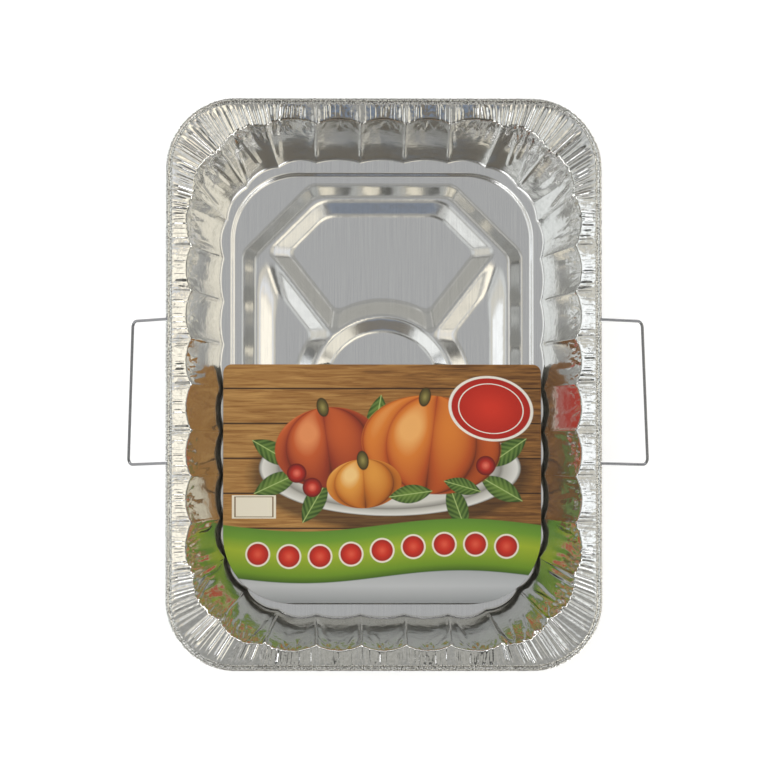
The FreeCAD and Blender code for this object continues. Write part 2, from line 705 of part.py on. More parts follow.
os.makedirs("parts", exist_ok=True)
for piece in pieces:
    piece.Shape.exportStep(f"parts/{piece.Label}.step")
    box = piece.Shape.BoundBox
    print(f"{piece.Label}: {piece.Shape.Volume:.1f} cubic mm, "
          f"X {box.XMin:.2f} to {box.XMax:.2f}, Y {box.YMin:.2f} to {box.YMax:.2f}, "
          f"Z {box.ZMin:.2f} to {box.ZMax:.2f}")
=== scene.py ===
import bpy
import math
import random
import numpy as np
from mathutils import Matrix, Vector, geometry


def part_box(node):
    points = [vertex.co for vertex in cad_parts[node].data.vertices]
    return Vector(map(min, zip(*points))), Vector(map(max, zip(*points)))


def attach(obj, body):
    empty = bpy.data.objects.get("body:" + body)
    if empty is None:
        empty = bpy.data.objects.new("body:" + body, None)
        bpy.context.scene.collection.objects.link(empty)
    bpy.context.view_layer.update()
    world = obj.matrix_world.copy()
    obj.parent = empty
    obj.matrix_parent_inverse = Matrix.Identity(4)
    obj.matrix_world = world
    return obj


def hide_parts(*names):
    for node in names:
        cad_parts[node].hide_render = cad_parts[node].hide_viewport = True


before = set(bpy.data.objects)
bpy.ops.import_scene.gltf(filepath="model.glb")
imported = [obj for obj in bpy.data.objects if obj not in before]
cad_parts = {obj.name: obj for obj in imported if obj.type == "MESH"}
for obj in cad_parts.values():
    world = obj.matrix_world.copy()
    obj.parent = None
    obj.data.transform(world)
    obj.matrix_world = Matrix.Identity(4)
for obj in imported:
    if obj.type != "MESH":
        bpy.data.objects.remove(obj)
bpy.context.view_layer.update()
MM = 0.001


# The foil sheet. One sheet of soft aluminium, pressed between dies into a ribbed floor,
# a ledge, fluted walls and a pleated flange. All lengths here are in millimetres, and
# the sheet is followed round the pan by stations and up its section by rows.

FOIL = 0.2
pan_low, pan_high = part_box("foil_pan")
HALF_X = (pan_high[0] - pan_low[0]) / 2 / MM
HALF_Y = (pan_high[1] - pan_low[1]) / 2 / MM
HEIGHT = pan_high[2] / MM


class Outline:
    """A rounded rectangle in plan, followed from the middle of its right side."""

    def __init__(self, inset, radius):
        self.radius = radius
        self.flat_x = HALF_X - inset[0] - radius
        self.flat_y = HALF_Y - inset[1] - radius
        self.quarter = self.flat_x + self.flat_y + radius * math.pi / 2

    def at(self, station):
        """Points and outward normals at lengths along the outline."""
        half_turn = np.floor(station / (2 * self.quarter) + 0.5)
        along = station - half_turn * 2 * self.quarter
        across = np.abs(along)
        angle = np.clip((across - self.flat_y) / self.radius, 0, math.pi / 2)
        normal = np.stack([np.cos(angle), np.sin(angle)], axis=-1)
        point = np.stack([np.minimum(self.flat_x, self.quarter - across),
                          np.minimum(self.flat_y, across)], axis=-1) + self.radius * normal
        flip = np.where(half_turn % 2, -1.0, 1.0)
        mirror = np.stack([flip, flip * np.where(along < 0, -1.0, 1.0)], axis=-1)
        return point * mirror, normal * mirror

    def distance(self, point):
        """How far outside the outline points are, and the direction away from it."""
        away = np.abs(point) - np.array([self.flat_x, self.flat_y])
        beyond = np.maximum(away, 0)
        length = np.linalg.norm(beyond, axis=-1)
        deep = np.minimum(away.max(axis=-1), 0)
        heading = beyond / np.maximum(length, 1e-9)[..., None] * np.where(point < 0, -1.0, 1.0)
        return length + deep - self.radius, heading

    def nearest(self, point):
        """The nearest points of the outline."""
        gap, heading = self.distance(point)
        return point - heading * gap[..., None]

    def reached(self, point, heading):
        """Where rays from inside the outline cross it."""
        for _ in range(60):
            gap, _ = self.distance(point)
            point = point - heading * gap[..., None]
        return point


RIM_WIDTH = 5.1
flange_edge = Outline((RIM_WIDTH, RIM_WIDTH), 48.9)
wall_top = Outline((19.8, 19.8), 70.0)
foot = Outline((43.5, 43.5), 65.0)
ledge_edge = Outline((49.9, 52.4), 52.0)
floor_edge = Outline((52.2, 54.7), 49.7)
FLAT_MARGIN = 1.3
flat_edge = Outline((52.2 + FLAT_MARGIN, 54.7 + FLAT_MARGIN), 49.7 - FLAT_MARGIN)

SIDE_FLUTES, END_FLUTES, CORNER_FLUTES = 6, 3, 4


def flute_stations(outline, side_run, end_run):
    """Where the cusps between the flutes stand on an outline."""
    corner_run = outline.quarter - side_run / 2 - end_run / 2
    side = [side_run / SIDE_FLUTES] * SIDE_FLUTES
    corner = [corner_run / CORNER_FLUTES] * CORNER_FLUTES
    end = [end_run / END_FLUTES] * END_FLUTES
    return np.cumsum([-side_run / 2] + (side + corner + end + corner) * 2)


TOP_SIDE_RUN, TOP_END_RUN = 212.0, 102.6
FOOT_SIDE_RUN, FOOT_END_RUN = 201.0, 101.6
top_stations = flute_stations(wall_top, TOP_SIDE_RUN, TOP_END_RUN)
foot_stations = flute_stations(foot, FOOT_SIDE_RUN, FOOT_END_RUN)
flute_count = len(top_stations) - 1
girth = 4 * wall_top.quarter
CORNER_FADE = 16.0


def in_corner(station):
    """1 round the corners of the wall top and 0 along its sides, with soft ends."""
    along = np.abs((station + wall_top.quarter) % (2 * wall_top.quarter) - wall_top.quarter)
    inside = np.minimum(along - wall_top.flat_y,
                        wall_top.flat_y + wall_top.radius * math.pi / 2 - along)
    return np.clip(inside / CORNER_FADE + 0.75, 0, 1)


# The pleats. Where the flange is drawn in, the foil gathers: low uneven creases along
# the sides, deep fanned folds round the corners. A column of the mesh stands on each crease.

creases = random.Random(7)
column_list = []
pleat_list = []
station = top_stations[0]
while station < top_stations[0] + girth - 2.0:
    tight = float(in_corner(np.array(station)))
    width = creases.uniform(1.9, 4.6) * (1 - tight) + creases.uniform(1.7, 4.8) * tight
    lean = creases.uniform(0.68, 0.86) * (1 - tight) + creases.uniform(0.35, 0.65) * tight
    depth = creases.uniform(0.12, 0.42) * (1 - tight) + creases.uniform(0.25, 0.85) * tight
    if creases.random() < 0.5:
        lean = 1 - lean
    for share, height in ((0.0, -depth), (lean, depth)):
        column_list.append(station + share * width)
        pleat_list.append(height * creases.uniform(0.5, 1.2))
    station += width
nodes_at = np.array(column_list)
node_height = np.array(pleat_list)

LEG_PITCH, HANDLE_SHIFT = 110.0, -5.4
SLOT_HALF = 1.75
slot_marks = [HANDLE_SHIFT + leg * LEG_PITCH / 2 + edge * SLOT_HALF
              for leg in (-1, 1) for edge in (-1, 1)]
half_girth = 2 * wall_top.quarter
fixed = slot_marks + [half_girth - mark for mark in slot_marks] + list(top_stations[:-1])

LONGEST_STEP, UNDIVIDED, TOO_CLOSE = 1.4, 0.6, 0.35
marks = sorted(set(list(nodes_at) + fixed))
columns = []
for here, there in zip(marks, marks[1:] + [marks[0] + girth]):
    if there - here < TOO_CLOSE and here not in fixed:
        continue
    pieces = 1
    if there - here > UNDIVIDED:
        pieces = max(2, math.ceil((there - here) / LONGEST_STEP))
    columns += [here + (there - here) * k / pieces for k in range(pieces)]
columns = np.array(columns)
corner_share = in_corner(columns)
flute_at = np.interp(columns, top_stations, np.arange(flute_count + 1))
pleat = np.interp(columns, nodes_at, node_height, period=girth)


def smooth_noise(seed, spacing, places=columns, around=girth):
    """Even random swell along a closed run, from -1 to 1, with one random value a spacing."""
    draws = np.random.default_rng(seed)
    total = max(3, round(around / spacing))
    values = draws.uniform(-1, 1, total)
    spot = (places - top_stations[0]) / around * total
    low = np.floor(spot).astype(int)
    share = spot - low
    share = share * share * (3 - 2 * share)
    return values[low % total] * (1 - share) + values[(low + 1) % total] * share


def level(points, height):
    """Plan points lifted to a height."""
    return np.concatenate([points, np.full(points.shape[:-1] + (1,), float(height))], axis=-1)


def fluted(outline, stations, depth, height):
    """A fluted ring: each flute bulges outwards between two cusps."""
    point, normal = outline.at(np.interp(flute_at, np.arange(flute_count + 1), stations))
    share = flute_at % 1
    bulge = depth * (1 - (2 * share - 1) ** 2)
    return level(point + normal * bulge[:, None], height), point, normal


LEDGE_HEIGHT, WALL_HEIGHT, FLANGE_HEIGHT = 2.5, 67.0, 71.76
FOOT_BULGE, TOP_BULGE = 2.2, 4.0
foot_ring, foot_base, _ = fluted(foot, foot_stations, FOOT_BULGE, LEDGE_HEIGHT)
top_ring, top_base, top_normal = fluted(wall_top, top_stations, TOP_BULGE, WALL_HEIGHT)
ledge_ring = level(ledge_edge.nearest(foot_base), LEDGE_HEIGHT)
step_ring = level(floor_edge.nearest(ledge_ring[:, :2]), 0)
flat_ring = level(flat_edge.nearest(ledge_ring[:, :2]), 0)
rim_ring = level(flange_edge.reached(top_base, top_normal), FLANGE_HEIGHT)
fan = 2.4 * corner_share * smooth_noise(11, 17) + 1.0 * corner_share * smooth_noise(12, 6)
tangent = np.stack([-top_normal[:, 1], top_normal[:, 0], np.zeros(len(columns))], axis=-1)
leaned = flange_edge.nearest((rim_ring + tangent * fan[:, None])[:, :2])
rim_ring = level(leaned, FLANGE_HEIGHT)


def eased(before, fold, after, ease, count):
    """Rows that round off a fold between its two neighbouring rings."""
    start = fold + (before - fold) / np.linalg.norm(before - fold, axis=-1)[:, None] * ease
    end = fold + (after - fold) / np.linalg.norm(after - fold, axis=-1)[:, None] * ease
    return [start * (1 - t) ** 2 + fold * 2 * t * (1 - t) + end * t ** 2
            for t in np.linspace(0, 1, count)]


def stretch(start, end, shares):
    """Rows between two rings, at shares of the way from one to the other."""
    return [start + (end - start) * t for t in shares]


WALL_ROWS, FOLD_ROWS, FLANGE_ROWS = 20, 4, 8
STEP_EASE, STEP_ROWS = 0.8, 3
FOOT_EASE, FOOT_ROWS = 1.8, 5
TOP_EASE = 1.1
rows = [flat_ring]
rows += eased(flat_ring, step_ring, ledge_ring, STEP_EASE, STEP_ROWS)
rows += eased(step_ring, ledge_ring, foot_ring, STEP_EASE, STEP_ROWS)
rows += eased(ledge_ring, foot_ring, top_ring, FOOT_EASE, FOOT_ROWS)
top_fold = eased(foot_ring, top_ring, rim_ring, TOP_EASE, FOLD_ROWS)
wall_start = len(rows)
shares = 1 - (1 - np.linspace(0, 1, WALL_ROWS + 2)[1:-1]) ** 1.5
rows += stretch(rows[-1], top_fold[0], shares)
wall_end = len(rows)
rows += top_fold
flange_start = len(rows) - 1
flange_shares = np.linspace(0, 1, FLANGE_ROWS + 1)[1:]
rows += stretch(top_fold[-1], rim_ring, flange_shares)
flange_end = len(rows) - 1

# The rim. The flange's edge runs over a small ridge, dips into a groove and curls over
# and under into an open bead, crimped all along so that it sparkles.

_, rim_heading = flange_edge.distance(rim_ring[:, :2])
BEAD, VALLEY, RIDGE = 1.65, 0.4, 1.2
bead_centre = np.array([-BEAD, HEIGHT - BEAD])


def ray(angle):
    return np.array([math.cos(math.radians(angle)), math.sin(math.radians(angle))])


GROOVE_LEAN = 37
valley_centre = bead_centre + ray(180 - GROOVE_LEAN) * (BEAD + VALLEY)
ridge_centre = valley_centre - ray(GROOVE_LEAN) * (VALLEY + RIDGE)
section = [ridge_centre + ray(a) * (RIDGE - FOIL) for a in np.linspace(104, GROOVE_LEAN, 5)]
section += [valley_centre + ray(a) * (VALLEY + FOIL)
            for a in np.linspace(180 + GROOVE_LEAN, 360 - GROOVE_LEAN, 5)[1:]]
bead_angles = np.linspace(180 - GROOVE_LEAN, -140, 13)[1:]
section += [bead_centre + ray(a) * (BEAD - FOIL) for a in bead_angles]
for across, height in section:
    plan = rim_ring[:, :2] + rim_heading * (RIM_WIDTH + across)
    rows.append(level(plan, height))
sheet = np.array(rows)
row_count, column_count = sheet.shape[:2]
bead_start = row_count - len(bead_angles)


# The crumpling. The pleats fade out at the groove, and at the wall top they run over
# the fold and down the wall as short slanting dents, longer and deeper in the corners.

lift = np.zeros((row_count, column_count))
push = np.zeros((row_count, column_count))
fade_end = 0.75 + 0.2 * smooth_noise(21, 9)
for row in range(flange_start - FOLD_ROWS + 1, flange_end + 1):
    t = max(0.0, (row - flange_start) / FLANGE_ROWS)
    rise = 0.55 + 0.45 * min(1.0, t * 3)
    fade = np.clip((1.0 - t) / (1.02 - np.minimum(fade_end, 0.95)), 0, 1)
    corner_rise = rise * (1 - corner_share) + corner_share
    lift[row] += pleat * corner_rise * fade
edge_wave = 0.5 * smooth_noise(22, 3) * (0.35 + 0.65 * corner_share)
for row in range(wall_start, flange_start + 2):
    near_top = np.clip((row - wall_end + 7) / 7, 0, 1)
    push[row] += (edge_wave + 0.7 * pleat) * near_top ** 2 * (0.5 + 0.5 * corner_share)

wall_heights = sheet[:, :, 2].mean(axis=1)
strokes = random.Random(23)


def dent(centre, top, length, slant, width, depth):
    """One crease pressed into the wall, running down from its top height."""
    for row in range(wall_start, wall_end + FOLD_ROWS):
        down = top - wall_heights[row]
        if down < 0 or down > length:
            continue
        taper = min(1.0, 4 * (1 - down / length), 0.45 + down / 3)
        offset = (columns - centre - slant * down + girth / 2) % girth - girth / 2
        push[row] += depth * taper * np.clip(1 - np.abs(offset) / width, 0, 1)


CUSP_FOLD, CUSP_WIDTH = 0.55, 1.5
for flute in range(flute_count):
    start, end = top_stations[flute], top_stations[flute + 1]
    from_cusp = np.abs((columns - start + girth / 2) % girth - girth / 2)
    fold = CUSP_FOLD * np.clip(1 - from_cusp / CUSP_WIDTH, 0, 1)
    for row in range(wall_start + 1, wall_end + 1):
        push[row] -= fold
    corner = float(in_corner(np.array((start + end) / 2))) > 0.5
    for _ in range(26 if corner else 15):
        at = strokes.gauss((start + end) / 2, (end - start) * (0.3 if corner else 0.2))
        dent(at, strokes.uniform(58, 67.5), strokes.uniform(6, 24 if corner else 15),
             strokes.uniform(-0.45, 0.45), strokes.uniform(1.1, 2.3),
             strokes.choice((-1, 1)) * strokes.uniform(0.25, 0.95 if corner else 0.65))
    for _ in range(6 if corner else 2):
        at = strokes.uniform(start, end)
        dent(at, strokes.uniform(50, 67.5), strokes.uniform(22, 52),
             strokes.uniform(-0.15, 0.15), strokes.uniform(2.5, 5.0),
             strokes.choice((-1, 1)) * strokes.uniform(0.4, 1.6 if corner else 0.7))
for row in range(wall_start, wall_end):
    height_share = (wall_heights[row] - LEDGE_HEIGHT) / (WALL_HEIGHT - LEDGE_HEIGHT)
    swell = smooth_noise(31, 22) * (1 - height_share) + smooth_noise(32, 19) * height_share
    push[row] += swell * 0.7 * math.sin(math.pi * min(1.0, height_share + 0.05))

CRIMP_UP, CRIMP_IN = 0.08, 0.09
crimps = np.random.default_rng(41)
crimp = crimps.normal(0, 1, (row_count - flange_end - 1, column_count))
out = np.concatenate([top_normal, np.zeros((column_count, 1))], axis=-1)
sheet += push[:, :, None] * out[None]
sheet[:, :, 2] += lift
sheet[flange_end + 1:, :, 2] += crimp * CRIMP_UP
crimp_out = np.concatenate([rim_heading, np.zeros((column_count, 1))], axis=-1)
pressed_in = np.abs(crimps.normal(0, CRIMP_IN, crimp.shape))
sheet[flange_end + 1:] -= pressed_in[:, :, None] * crimp_out[None]
sheet[:, :, 2] = np.minimum(sheet[:, :, 2], HEIGHT - FOIL)

along_ring = np.roll(sheet, -1, axis=1) - np.roll(sheet, 1, axis=1)
up_section = np.gradient(sheet, axis=0)
normals = np.cross(along_ring, up_section)
normals /= np.linalg.norm(normals, axis=-1)[..., None]
normals *= np.where(normals[0, 0, 2] > 0, 1.0, -1.0)


def mesh_object(name, points, faces, point_normals):
    """A piece from points in millimetres, with its normals set point by point."""
    mesh = bpy.data.meshes.new(name)
    mesh.from_pydata((points * MM).tolist(), [], faces)
    mesh.shade_smooth()
    mesh.normals_split_custom_set_from_vertices(point_normals.tolist())
    piece = bpy.data.objects.new(name, mesh)
    bpy.context.scene.collection.objects.link(piece)
    return piece


def foil_band(name, first, last, open_at=None):
    """A closed band of the sheet between two rows, as thick as the foil."""
    band = sheet[first:last + 1]
    facing = normals[first:last + 1]
    total = band.shape[0]
    points = np.concatenate([(band + facing * FOIL).reshape(-1, 3), band.reshape(-1, 3)])
    point_normals = np.concatenate([facing.reshape(-1, 3), -facing.reshape(-1, 3)])
    under = total * column_count
    kept = np.ones((total - 1, column_count), bool)
    if open_at is not None:
        kept[open_at[0] - first:, :] &= ~open_at[1][None]
    faces = []
    for r in range(total - 1):
        for c in range(column_count):
            if not kept[r, c]:
                continue
            d = (c + 1) % column_count
            quad = (r * column_count + c, (r + 1) * column_count + c,
                    (r + 1) * column_count + d, r * column_count + d)
            faces.append(quad)
            faces.append(tuple(under + i for i in reversed(quad)))
            sides = ((r == 0 or not kept[r - 1, c], quad[3], quad[0]),
                     (r == total - 2 or not kept[r + 1, c], quad[1], quad[2]),
                     (not kept[r, c - 1], quad[0], quad[1]),
                     (not kept[r, d], quad[2], quad[3]))
            for is_edge, one, other in sides:
                if is_edge:
                    faces.append((other, one, under + one, under + other))
    return mesh_object(name, points, faces, point_normals)


rim_y = rim_ring[:, 1]
rim_next = np.roll(rim_y, -1)
middle_y = (rim_y + rim_next) / 2
on_side = np.abs(rim_ring[:, 0]) > HALF_X - RIM_WIDTH - 0.01
leg_gap = np.zeros(column_count, bool)
for leg in (-1, 1):
    leg_gap |= on_side & (np.abs(middle_y - HANDLE_SHIFT - leg * LEG_PITCH / 2) < SLOT_HALF)
SLOT_TOP_ANGLE = 75
slot_row = bead_start + int(np.argmax(bead_angles < SLOT_TOP_ANGLE))

step = foil_band("foil_pan_ledge", 0, wall_start - 1)
wall = foil_band("foil_pan_wall", wall_start - 1, flange_start)
flange = foil_band("foil_pan_flange", flange_start, flange_end)
rim = foil_band("foil_pan_rim", flange_end, row_count - 1, (slot_row, leg_gap))


# The floor. The press raises one connected rib: an eight-sided frame with a cross of
# four arms and a ring, round four sunk panels and a sunk disc. It stiffens the pan and
# keeps the food off its juices.

RIB = 5.0
FRAME_SLOPE, FRAME_CREST, PANEL_SLOPE, DISC_SLOPE, CORNER_SLOPE = 9.5, 2.4, 12.0, 10.8, 25.0
FRAME_MARGIN = 7.0
FRAME_X = floor_edge.flat_x + floor_edge.radius - FRAME_MARGIN
FRAME_Y = floor_edge.flat_y + floor_edge.radius - FRAME_MARGIN
FRAME_CUT, CREST_EXTRA, SIDE_CUT, WEDGE = 51.8, 1.6, 4.5, 8.5
RING_RADIUS, RING_CREST, ARM_HALF, ARM_ROOT_ANGLE = 56.0, 1.3, 0.6, 47
FRAME_BLEND, PANEL_BLEND, SLOPE_BEND = 4.0, 0.6, 0.2
DIAGONAL = math.sqrt(0.5)


def frame_depth(x, y):
    """How far inside the eight-sided frame a place is: sides, ends and cut corners."""
    return [FRAME_X - x, FRAME_Y - y, (FRAME_X + FRAME_Y - FRAME_CUT - x - y) * DIAGONAL]


def soft_least(values, blend):
    """The least of several fields, with the joints between them rounded off."""
    least = values[0]
    for other in values[1:]:
        share = np.clip(0.5 + 0.5 * (other - least) / blend, 0, 1)
        least = other * (1 - share) + least * share - blend * share * (1 - share)
    return least


def soft_ramp(share, bend):
    """0 to 1 with rounded ends."""
    def eased_in(t):
        return np.where(t < -bend, 0, np.where(t > bend, t, (t + bend) ** 2 / (4 * bend)))
    return eased_in(share) - eased_in(share - 1)


crest = FRAME_SLOPE + FRAME_CREST
crest_x, crest_y = FRAME_X - crest, FRAME_Y - crest
cut_total = FRAME_X + FRAME_Y - FRAME_CUT - (crest + CREST_EXTRA) / DIAGONAL
side_corner = np.array([crest_x, FRAME_X + FRAME_Y - FRAME_CUT - crest / DIAGONAL - crest_x])
arm_end = side_corner + (np.array([-1, 1]) * WEDGE + np.array([-1, -1]) * CREST_EXTRA) * DIAGONAL
arm_start = ray(ARM_ROOT_ANGLE) * RING_RADIUS
arm_heading = (arm_end - arm_start) / np.linalg.norm(arm_end - arm_start)


def floor_height(x, y):
    """Height of the pressed floor, the same in all four quarters."""
    x, y = np.abs(x), np.abs(y)
    outside = soft_least(frame_depth(x, y), FRAME_BLEND) / FRAME_SLOPE
    rib = RIB * soft_ramp(outside, SLOPE_BEND)
    from_arm = (x - arm_start[0]) * -arm_heading[1] + (y - arm_start[1]) * arm_heading[0]
    radius = np.hypot(x, y)
    past_ring = (radius - RING_RADIUS) / PANEL_SLOPE
    cut = (cut_total - x - y) * DIAGONAL
    end = [(from_arm - ARM_HALF) / PANEL_SLOPE, cut / PANEL_SLOPE, (crest_y - y) / PANEL_SLOPE,
           past_ring]
    side = [(-from_arm - ARM_HALF) / PANEL_SLOPE, (cut - SIDE_CUT) / CORNER_SLOPE,
            (crest_x - x) / PANEL_SLOPE, past_ring]
    disc = (RING_RADIUS - RING_CREST - radius) / DISC_SLOPE
    sunk = np.maximum(soft_least(end, PANEL_BLEND), soft_least(side, PANEL_BLEND))
    sunk = np.maximum(sunk, disc)
    return np.minimum(rib, RIB * (1 - soft_ramp(sunk, SLOPE_BEND)))


def floor_normal(x, y, step=0.25):
    """Upward normal of the pressed floor."""
    slope_x = (floor_height(x + step, y) - floor_height(x - step, y)) / (2 * step)
    slope_y = (floor_height(x, y + step) - floor_height(x, y - step)) / (2 * step)
    facing = np.stack([-slope_x, -slope_y, np.ones_like(x)], axis=-1)
    return facing / np.linalg.norm(facing, axis=-1)[..., None]


def grid_places(spacing, shift=0.0):
    """Grid places on the floor, clear of its edge."""
    reach_x = flat_edge.flat_x + flat_edge.radius
    reach_y = flat_edge.flat_y + flat_edge.radius
    x, y = np.meshgrid(np.arange(-reach_x + shift, reach_x, spacing),
                       np.arange(-reach_y + shift, reach_y, spacing))
    places = np.stack([x.ravel(), y.ravel()], axis=-1)
    return places[flat_edge.distance(places)[0] < -0.8]


def bending(places, reach=1.1):
    """How much the floor's slope changes about each place."""
    x, y = places[:, 0], places[:, 1]
    here = floor_normal(x, y)
    change = 0
    for dx, dy in ((reach, 0), (-reach, 0), (0, reach), (0, -reach)):
        change = np.maximum(change, np.linalg.norm(floor_normal(x + dx, y + dy) - here, axis=-1))
    return change


FINE_GRID, COARSE_GRID, FLAT_ENOUGH = 1.1, 3.3, 0.03
fine = grid_places(FINE_GRID)
fine = fine[bending(fine) > FLAT_ENOUGH]
coarse = grid_places(COARSE_GRID, 1.6)
coarse = coarse[bending(coarse, 2.0) <= FLAT_ENOUGH]
border = flat_ring[:, :2]
places = np.concatenate([border, fine, coarse])
loop = [(i, (i + 1) % column_count) for i in range(column_count)]
made = geometry.delaunay_2d_cdt([Vector(p) for p in places.tolist()], loop, [], 1, 1e-4)
spots = np.array([tuple(p) for p in made[0]])
triangles = [tuple(f) for f in made[2]]
rise = floor_height(spots[:, 0], spots[:, 1])
rise[flat_edge.distance(spots)[0] > -0.05] = 0.0
facing = floor_normal(spots[:, 0], spots[:, 1])
under_floor = np.concatenate([spots, rise[:, None]], axis=-1)
floor_points = np.concatenate([under_floor + facing * FOIL, under_floor])
total = len(spots)
floor_faces = triangles + [tuple(total + i for i in reversed(t)) for t in triangles]
sides = dict.fromkeys(pair for t in triangles for pair in zip(t, t[1:] + t[:1]))
for one, other in sides:
    if (other, one) not in sides:
        floor_faces.append((other, one, total + one, total + other))
floor = mesh_object("foil_pan_floor", floor_points, floor_faces, np.concatenate([facing, -facing]))


# Bright rolled foil: nearly a mirror, softened along fine rolling lines that run the
# length of the sheet. To the eye it is the studio's greys, drawn out in thin streaks.

def linear(hex_colour):
    """sRGB hex to linear RGBA."""
    values = [int(hex_colour[i:i + 2], 16) / 255 for i in (1, 3, 5)]
    return [v / 12.92 if v <= 0.04045 else ((v + 0.055) / 1.055) ** 2.4 for v in values] + [1.0]


def add(tree, kind, settings=None, **links):
    """Adds a node with its settings; links go to sockets by name or number."""
    node = tree.nodes.new(kind)
    for name, value in (settings or {}).items():
        if isinstance(name, int) or name in node.inputs:
            node.inputs[name].default_value = value
        else:
            setattr(node, name, value)
    for name, source in links.items():
        socket = node.inputs[int(name[2:]) if name.startswith("in") and name[2:].isdigit()
                             else name.replace("_", " ")]
        tree.links.new(source, socket)
    return node


def new_material(name):
    """Material with an empty tree but for its surface shader."""
    material = bpy.data.materials.new(name)
    material.use_nodes = True
    tree = material.node_tree
    return material, tree, tree.nodes["Principled BSDF"]


# Real rolling lines are hundredths of a millimetre apart. Here they are 0.7 mm apart and
# 50 mm long, so that they show. Worked foil has lost them and keeps an even, coarser grain.
ROLLING_LINES = (0.7, 50.0, 40.0)
WORKED_GRAIN = (2.5, 2.5, 2.5)


def foil_finish(name, roughness, darker, lighter, grain_size, dent_size, dent_strength):
    """Aluminium foil with a grain or streaks and shallow dents, both of a given size."""
    material, tree, shader = new_material(name)
    places_node = add(tree, "ShaderNodeTexCoord")
    stretched = add(tree, "ShaderNodeMapping",
                    {"Scale": tuple(1 / (length * MM) for length in grain_size)},
                    Vector=places_node.outputs["Object"])
    streaks = add(tree, "ShaderNodeTexNoise", {"Scale": 1.0, "Detail": 3.0, "Roughness": 0.6},
                  Vector=stretched.outputs["Vector"])
    tone = add(tree, "ShaderNodeValToRGB", Fac=streaks.outputs["Fac"])
    tone.color_ramp.elements[0].position = 0.30
    tone.color_ramp.elements[0].color = linear(darker)
    tone.color_ramp.elements[1].position = 0.72
    tone.color_ramp.elements[1].color = linear(lighter)
    dents = add(tree, "ShaderNodeTexNoise", {"Scale": 1 / (dent_size * MM), "Detail": 2.0},
                Vector=places_node.outputs["Object"])
    waves = add(tree, "ShaderNodeBump", {"Strength": dent_strength, "Distance": 0.6 * MM},
                Height=dents.outputs["Fac"])
    lines = add(tree, "ShaderNodeBump", {"Strength": 0.04, "Distance": 0.1 * MM},
                Height=streaks.outputs["Fac"], Normal=waves.outputs["Normal"])
    shader.inputs["Metallic"].default_value = 1.0
    shader.inputs["Roughness"].default_value = roughness
    tree.links.new(tone.outputs["Color"], shader.inputs["Base Color"])
    tree.links.new(lines.outputs["Normal"], shader.inputs["Normal"])
    return material


rolled_foil = foil_finish("rolled_aluminium_foil", 0.17, "#EBEBEC", "#F6F6F6",
                          ROLLING_LINES, 14, 0.3)

# The walls are drawn and crumpled by the press, so their grain is coarser and their dents break up
# what they mirror. Their tint, greyer than the floor's, is painted shade that dims what they mirror.
# The flange is bent but hardly drawn, and stays bright.

# Painted shade: the same foil as the floor, tinted darker so that the walls mirror things dimmer.
drawn_foil = foil_finish("drawn_foil_walls", 0.16, "#D3D3D0", "#E0E0DD", WORKED_GRAIN, 8, 0.6)
pleated_foil = foil_finish("pleated_foil_flange", 0.12, "#E2E2E1", "#F4F4F4",
                           WORKED_GRAIN, 6, 0.4)

# The rolled edge is the same foil, crushed into fine grains by the curling dies, so the bead
# glitters in specks where the flange shows folds. The hollows between the grains are too small to
# model, so they are drawn 1 mm apart, and the shade in them is painted in as a darker base colour.

EDGE_GRAIN = 1.0
crimped_foil, tree, shader = new_material("crimped_foil_edge")
places_node = add(tree, "ShaderNodeTexCoord")
grains = add(tree, "ShaderNodeTexNoise",
             {"Scale": 1 / (EDGE_GRAIN * MM), "Detail": 2.0, "Roughness": 0.6},
             Vector=places_node.outputs["Object"])
crushed = add(tree, "ShaderNodeBump", {"Strength": 0.6, "Distance": 0.5 * MM},
              Height=grains.outputs["Fac"])
shader.inputs["Metallic"].default_value = 1.0
shader.inputs["Roughness"].default_value = 0.16
tree.links.new(crushed.outputs["Normal"], shader.inputs["Normal"])
# Painted shade: the low spots of the grain noise get a darker base colour, as if shade fell in the
# hollows.
painted_pit_shade = add(tree, "ShaderNodeValToRGB", Fac=grains.outputs["Fac"])
painted_pit_shade.color_ramp.elements[0].position = 0.36
painted_pit_shade.color_ramp.elements[0].color = linear("#85847F")
painted_pit_shade.color_ramp.elements[1].position = 0.50
painted_pit_shade.color_ramp.elements[1].color = linear("#F2F2F0")
tree.links.new(painted_pit_shade.outputs["Color"], shader.inputs["Base Color"])

for piece, finish in ((floor, rolled_foil), (step, rolled_foil), (wall, drawn_foil),
                      (flange, pleated_foil), (rim, crimped_foil)):
    piece.data.materials.append(finish)
    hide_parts("foil_pan")
    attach(piece, "pan")


# The handles. Each is one length of bright drawn steel wire, bent into a U, its two
# feet turned into the curl of the rim, where they swing. The die leaves faint marks
# along the wire, which to the eye are darker and lighter spots on a smooth grey shine.

DIE_MARK = 1.2
drawn_wire, tree, shader = new_material("drawn_steel_wire")
places_node = add(tree, "ShaderNodeTexCoord")
die_marks = add(tree, "ShaderNodeTexNoise", {"Scale": 1 / (DIE_MARK * MM), "Detail": 3.0},
                Vector=places_node.outputs["Object"])
tone = add(tree, "ShaderNodeValToRGB", Fac=die_marks.outputs["Fac"])
tone.color_ramp.elements[0].color = linear("#727376")
tone.color_ramp.elements[1].color = linear("#A3A4A6")
marks_bump = add(tree, "ShaderNodeBump", {"Strength": 0.1, "Distance": 0.05 * MM},
                 Height=die_marks.outputs["Fac"])
shader.inputs["Metallic"].default_value = 1.0
shader.inputs["Roughness"].default_value = 0.3
tree.links.new(tone.outputs["Color"], shader.inputs["Base Color"])
tree.links.new(marks_bump.outputs["Normal"], shader.inputs["Normal"])
for name in ("wire_handle_left", "wire_handle_right"):
    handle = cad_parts[name]
    handle.data.materials.clear()
    handle.data.materials.append(drawn_wire)
    handle.data.shade_smooth()


# The card. A sheet of coated board, die cut to the shape of the floor's near half and
# laid loose on the ribs. Its print is a plain harvest picture on wooden boards, with a
# green wave and a silver foot. The coating gives the eye a soft, satin shine.

